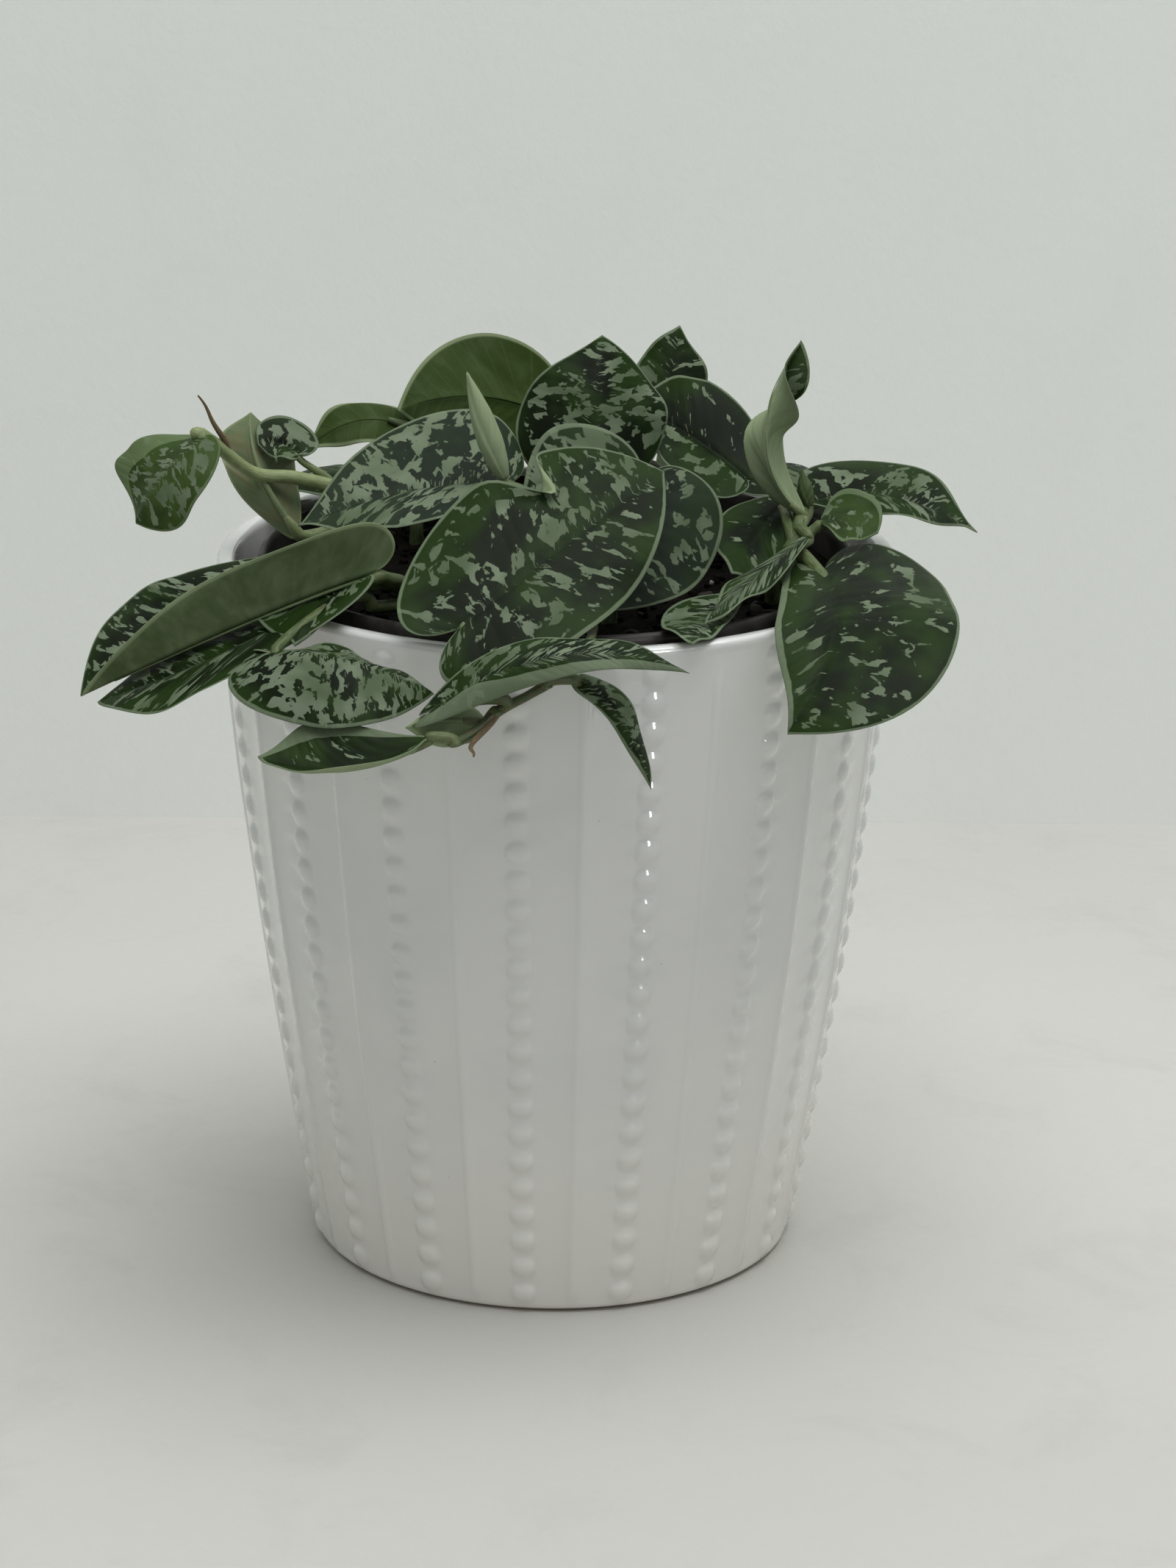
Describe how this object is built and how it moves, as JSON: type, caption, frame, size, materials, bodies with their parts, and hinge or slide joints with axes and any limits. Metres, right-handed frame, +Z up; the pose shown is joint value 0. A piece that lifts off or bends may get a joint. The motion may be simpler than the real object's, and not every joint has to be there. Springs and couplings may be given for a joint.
{
  "type": "potted satin pothos",
  "caption": "Bushy satin pothos with heart-shaped, silver-patched leaves, rooted in a plastic growing pot inside a white glazed cover pot with upright rows of raised beads.",
  "frame": {"origin": "middle of the cover pot's underside, on the surface it stands on", "axes": "+Z up; -Y towards the front, where the longest leaf hangs over the rim; +X to the right seen from the front"},
  "size_m": [0.2053, 0.2044, 0.222],
  "materials": {
    "glaze": "white glazed ceramic",
    "dark_plastic": "satin dark plastic",
    "potting_mix": "moist, crumbly potting mix",
    "leaves": "dark green leaves with a satin sheen and silver patches"
  },
  "bodies": {
    "root": {"cover_pot": "glaze", "growing_pot": "dark_plastic", "soil": "potting_mix", "vine_left": "leaves", "vine_back_left": "leaves", "vine_middle": "leaves", "vine_front": "leaves", "vine_back": "leaves", "vine_right": "leaves", "vine_front_left": "leaves", "vine_trailing": "leaves", "vine_rear_left": "leaves", "vine_rear": "leaves", "vine_rear_right": "leaves"}
  },
  "joints": []
}
